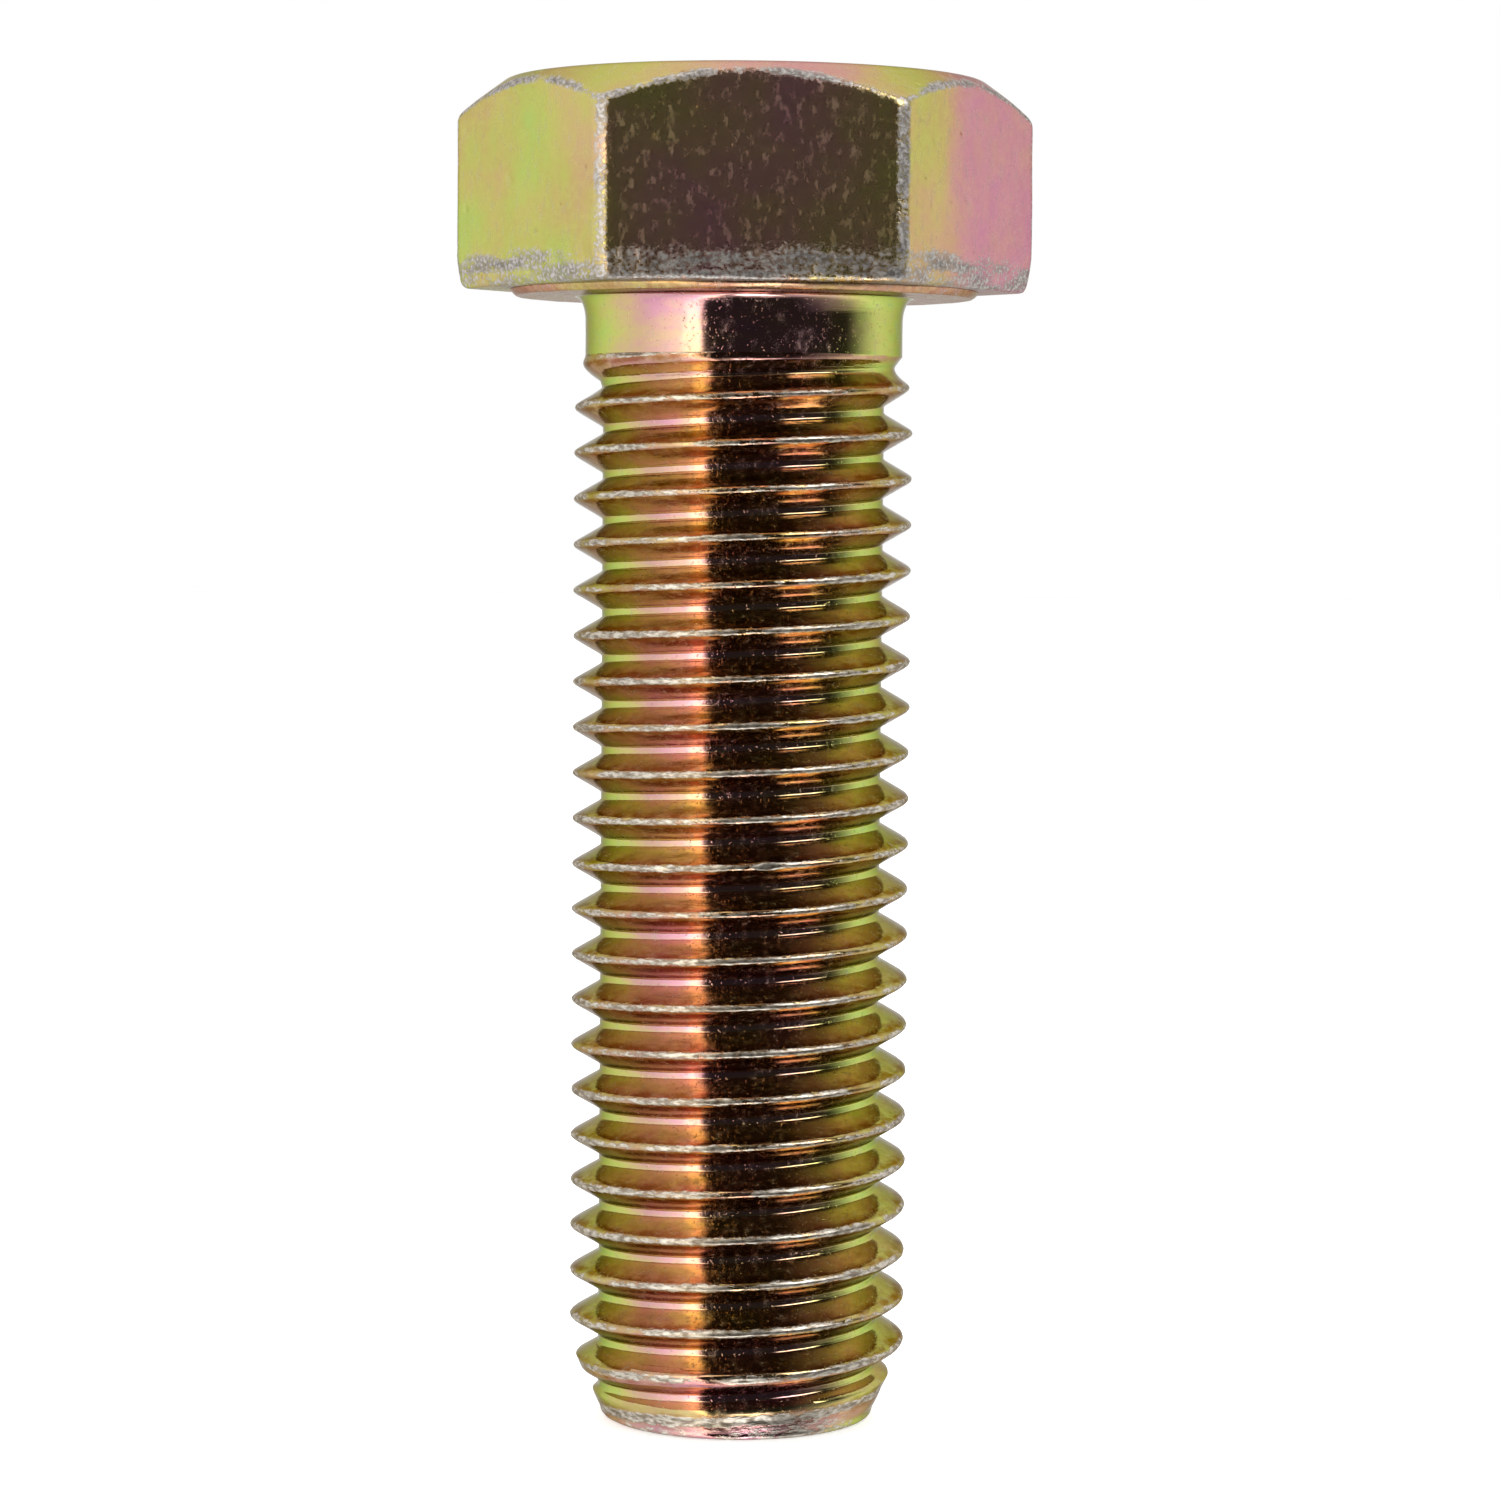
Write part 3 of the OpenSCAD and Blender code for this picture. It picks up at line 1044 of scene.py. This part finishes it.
def dirt_and_shade_layer(tree, colour, marks):
    """Tints a colour brown by dirt_and_shade * (4 * noise - 1), held between 0 and 1: brown smears,
    and on the thread the painted shade beside the crests.
    """
    smears = minus(tree, times(tree, noise(tree, marks, 2600.0, 4.0, 0.65), 4.0), 1.0)
    # Share of brown: oil and dirt, and on the thread painted shade beside the crests.
    dirt_and_shade_share = times(tree, painted_value(tree, "dirt_and_shade"), smears, clamp=True)
    return tint(tree, dirt_and_shade_share, colour, DIRT_AND_SHADE_BROWN)


def chipped(tree, speck):
    """Where the film is gone: a step of (bare + 0.35) * (speck + 0.25) from 0.50 to 0.78."""
    chance = times(tree, plus(tree, painted_value(tree, "bare"), 0.35), plus(tree, speck, 0.25))
    return step_up(tree, chance, 0.50, 0.78)


def relief(tree, place, fine, chips, rolled):
    """Bump from the sum of fine grain, sparse grit, the dies' lines if rolled, and chips."""
    grit = step_up(tree, noise(tree, place, 5600.0, 1.0, 0.5), 0.66, 0.74)
    height = plus(tree, times(tree, fine, 0.35), times(tree, grit, 0.7 if rolled else 0.3))
    if rolled:
        lines = noise(tree, squeezed(tree, place, (0.05, 0.05, 1.0)), 7000.0, 3.0, 0.6)
        height = plus(tree, height, times(tree, lines, 0.55))
    bump = add_node(tree, "ShaderNodeBump")
    bump.inputs["Strength"].default_value = 0.5
    bump.inputs["Distance"].default_value = 0.03 * MM
    tree.links.new(plus(tree, height, times(tree, chips, 1.4)), bump.inputs["Height"])
    return bump.outputs["Normal"]


# %% [markdown]
# ## The finish
#
# One recipe serves both finishes. The thread was rolled and is glossy; the head was forged and is
# a little hazy. Stained and worn places are rougher and slightly less metallic.

# %% Finish
THREAD_ZINC = ((0.28, 0.23, 0.18, 1), (0.78, 0.72, 0.62, 1))
HEAD_ZINC = ((0.22, 0.20, 0.19, 1), (0.68, 0.64, 0.61, 1))


def yellow_zinc(name, dye, gloss, haze, zinc_tones, grain_scale, rolled):
    """Iridescent chromate over zinc. Metallic is 1 - haze - 0.07 dull and roughness is gloss +
    0.10 fine + 0.23 dull, where dull is the more of stain and wear."""
    material = bpy.data.materials.new(name)
    material.use_nodes = True
    tree = material.node_tree
    shader = tree.nodes["Principled BSDF"]
    place = add_node(tree, "ShaderNodeTexCoord").outputs["Object"]
    marks = squeezed(tree, place, (0.35, 0.35, 1.0) if rolled else (0.8, 0.8, 1.0))
    fine = noise(tree, marks, grain_scale, 5.0, 0.65)
    speck = noise(tree, marks, 5200.0, 3.0, 0.6)
    drops = noise(tree, squeezed(tree, place, (1.0, 1.0, 0.55)), 2000.0, 5.0, 0.65)
    stain = step_up(tree, drops, 0.50, 0.76)
    worn = chipped(tree, speck)
    film_and_sheen = film_layer(tree, dye, fine, 44.0 if rolled else 26.0)
    stained = mix_colour(tree, times(tree, stain, 0.3), dirt_and_shade_layer(tree, film_and_sheen, marks), STAIN_GREY)
    zinc = mix_colour(tree, step_up(tree, speck, 0.36, 0.66), *zinc_tones)
    tree.links.new(mix_colour(tree, worn, stained, zinc), shader.inputs["Base Color"])
    dull = math_node(tree, "MAXIMUM", stain, worn)
    metallic = minus(tree, 1.0 - haze, times(tree, dull, 0.07))
    tree.links.new(metallic, shader.inputs["Metallic"])
    roughness = plus(tree, plus(tree, times(tree, fine, 0.10), gloss), times(tree, dull, 0.23))
    tree.links.new(roughness, shader.inputs["Roughness"])
    shader.inputs["Specular Tint"].default_value = EDGE_REFLECTION
    bumps = relief(tree, place, fine, times(tree, speck, worn), rolled)
    tree.links.new(bumps, shader.inputs["Normal"])
    print(f"{name}: {len(tree.nodes)} nodes")
    return material


thread_finish = yellow_zinc(
    "yellow_zinc_on_thread", THREAD_DYE, gloss=0.05, haze=0.0,
    zinc_tones=THREAD_ZINC, grain_scale=1800.0, rolled=True,
)
head_finish = yellow_zinc(
    "yellow_zinc_on_head", HEAD_DYE, gloss=0.17, haze=0.04,
    zinc_tones=HEAD_ZINC, grain_scale=1300.0, rolled=False,
)

# %% [markdown]
# ## Materials and body
#
# Each piece takes its material, rides on the bolt's one body and stands for its CAD node.

# %% Materials and body
for piece, node, finish in (
    (forged_head, "hex_head", head_finish),
    (bearing_ring, "washer_face", head_finish),
    (plain_neck, "neck", thread_finish),
    (rolled_thread, "threaded_shank", thread_finish),
    (rolled_point, "point", thread_finish),
):
    piece.data.materials.append(finish)
    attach(piece, "root")
    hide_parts(node)
